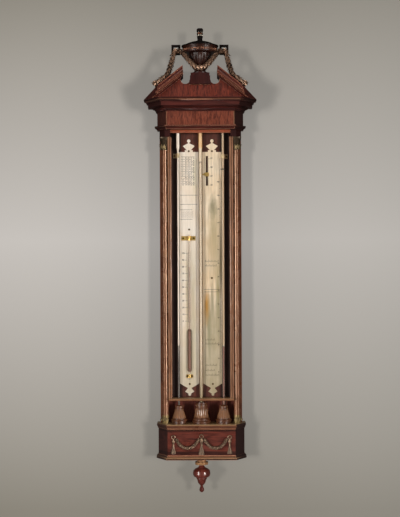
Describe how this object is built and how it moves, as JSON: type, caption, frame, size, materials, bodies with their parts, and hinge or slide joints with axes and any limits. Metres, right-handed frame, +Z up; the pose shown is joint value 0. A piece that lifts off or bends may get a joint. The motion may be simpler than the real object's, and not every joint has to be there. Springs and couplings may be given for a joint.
{
  "type": "cistern barometer",
  "caption": "Wall barometer: splayed case with columns, broken pediment and urn, open front with scale plates and glass tubes, turned covers, swagged box and drop finial.",
  "frame": {"origin": "centre of the hanging hole, on the back face of the case, against the wall", "axes": "+Z up along the case, +Y out of the hanging hole towards the wall, +X to the viewer's right"},
  "size_m": [0.33, 0.109, 1.3534],
  "materials": {
    "mahogany": "french-polished solid mahogany, warm red-brown, fine straight grain",
    "dark_mahogany": "oiled mahogany in shadow and on the back, nearly black-brown",
    "figured_veneer": "polished figured mahogany veneer, orange-brown",
    "bronzed_wood": "turned wood with a glossy bronze-brown varnish",
    "carved_gilt": "carved wood with worn dark gilding",
    "boxwood": "turned boxwood",
    "gilt_brass": "cast brass, gilt and worn",
    "brass": "lacquered brass, dulled",
    "silvered_plate": "aged silvered scale plate, cream with yellow stains",
    "glass": "clear drawn glass tube",
    "mercury": "mercury",
    "spirit": "tinted spirit, stands for a liquid",
    "dark_horn": "dark turned horn"
  },
  "bodies": {
    "case": {"backboard": "dark_mahogany", "hanging_plate": "brass", "hanging_screws": "brass", "trunk_side_left": "mahogany", "trunk_side_right": "mahogany", "stile_left": "mahogany", "stile_right": "mahogany", "scale_board": "dark_mahogany", "top_rail": "figured_veneer", "tube_shelf": "mahogany", "column_left": "mahogany", "column_right": "mahogany", "column_base_left": "gilt_brass", "column_base_right": "gilt_brass", "capital_left": "gilt_brass", "capital_right": "gilt_brass", "impost_blocks": "mahogany", "architrave": "mahogany", "frieze": "figured_veneer", "cornice": "mahogany", "tympanum": "figured_veneer", "pediment_back": "dark_mahogany", "raking_cornice_left": "mahogany", "raking_cornice_right": "mahogany", "urn_plinth": "dark_mahogany", "urn_body": "mahogany", "urn_lid": "mahogany", "urn_knob": "dark_mahogany", "urn_handle_left": "dark_mahogany", "urn_handle_right": "dark_mahogany", "garland_left": "carved_gilt", "garland_right": "carved_gilt", "garland_front": "carved_gilt", "box_case": "mahogany", "box_ledge": "mahogany", "box_base_moulding": "mahogany", "box_bottom": "dark_mahogany", "swag_left": "carved_gilt", "swag_right": "carved_gilt", "tassels": "carved_gilt", "pendant_collar": "brass", "pendant": "mahogany", "scale_plate_left": "silvered_plate", "scale_plate_right": "silvered_plate", "brass_screws": "brass", "tube_clips": "brass", "barometer_tube": "glass", "barometer_mercury": "mercury", "cistern_cup": "boxwood", "contra_tube": "glass", "contra_mercury": "mercury", "contra_spirit": "spirit", "thermometer_tube": "glass", "thermometer_spirit": "spirit", "thermometer_clips": "brass"},
    "slider": {"pointer": "brass"},
    "left_cover": {"cover_left": "bronzed_wood"},
    "middle_cover": {"cover_middle": "bronzed_wood"},
    "right_cover": {"cover_right": "bronzed_wood"},
    "index": {"index_ring": "dark_horn"}
  },
  "joints": [
    {"name": "pointer_slide", "type": "slide", "parent": "case", "child": "slider", "axis": [0, 0, 1], "range_m": [-0.0299, 0.051]},
    {"name": "left_cover_off", "type": "slide", "parent": "case", "child": "left_cover", "axis": [0, -1, 0], "range_m": [0, 0.09]},
    {"name": "middle_cover_off", "type": "slide", "parent": "case", "child": "middle_cover", "axis": [0, -1, 0], "range_m": [0, 0.09]},
    {"name": "right_cover_off", "type": "slide", "parent": "case", "child": "right_cover", "axis": [0, -1, 0], "range_m": [0, 0.09]},
    {"name": "index_slide", "type": "slide", "parent": "case", "child": "index", "axis": [0, 0, 1], "range_m": [-0.66, 0.025]}
  ]
}
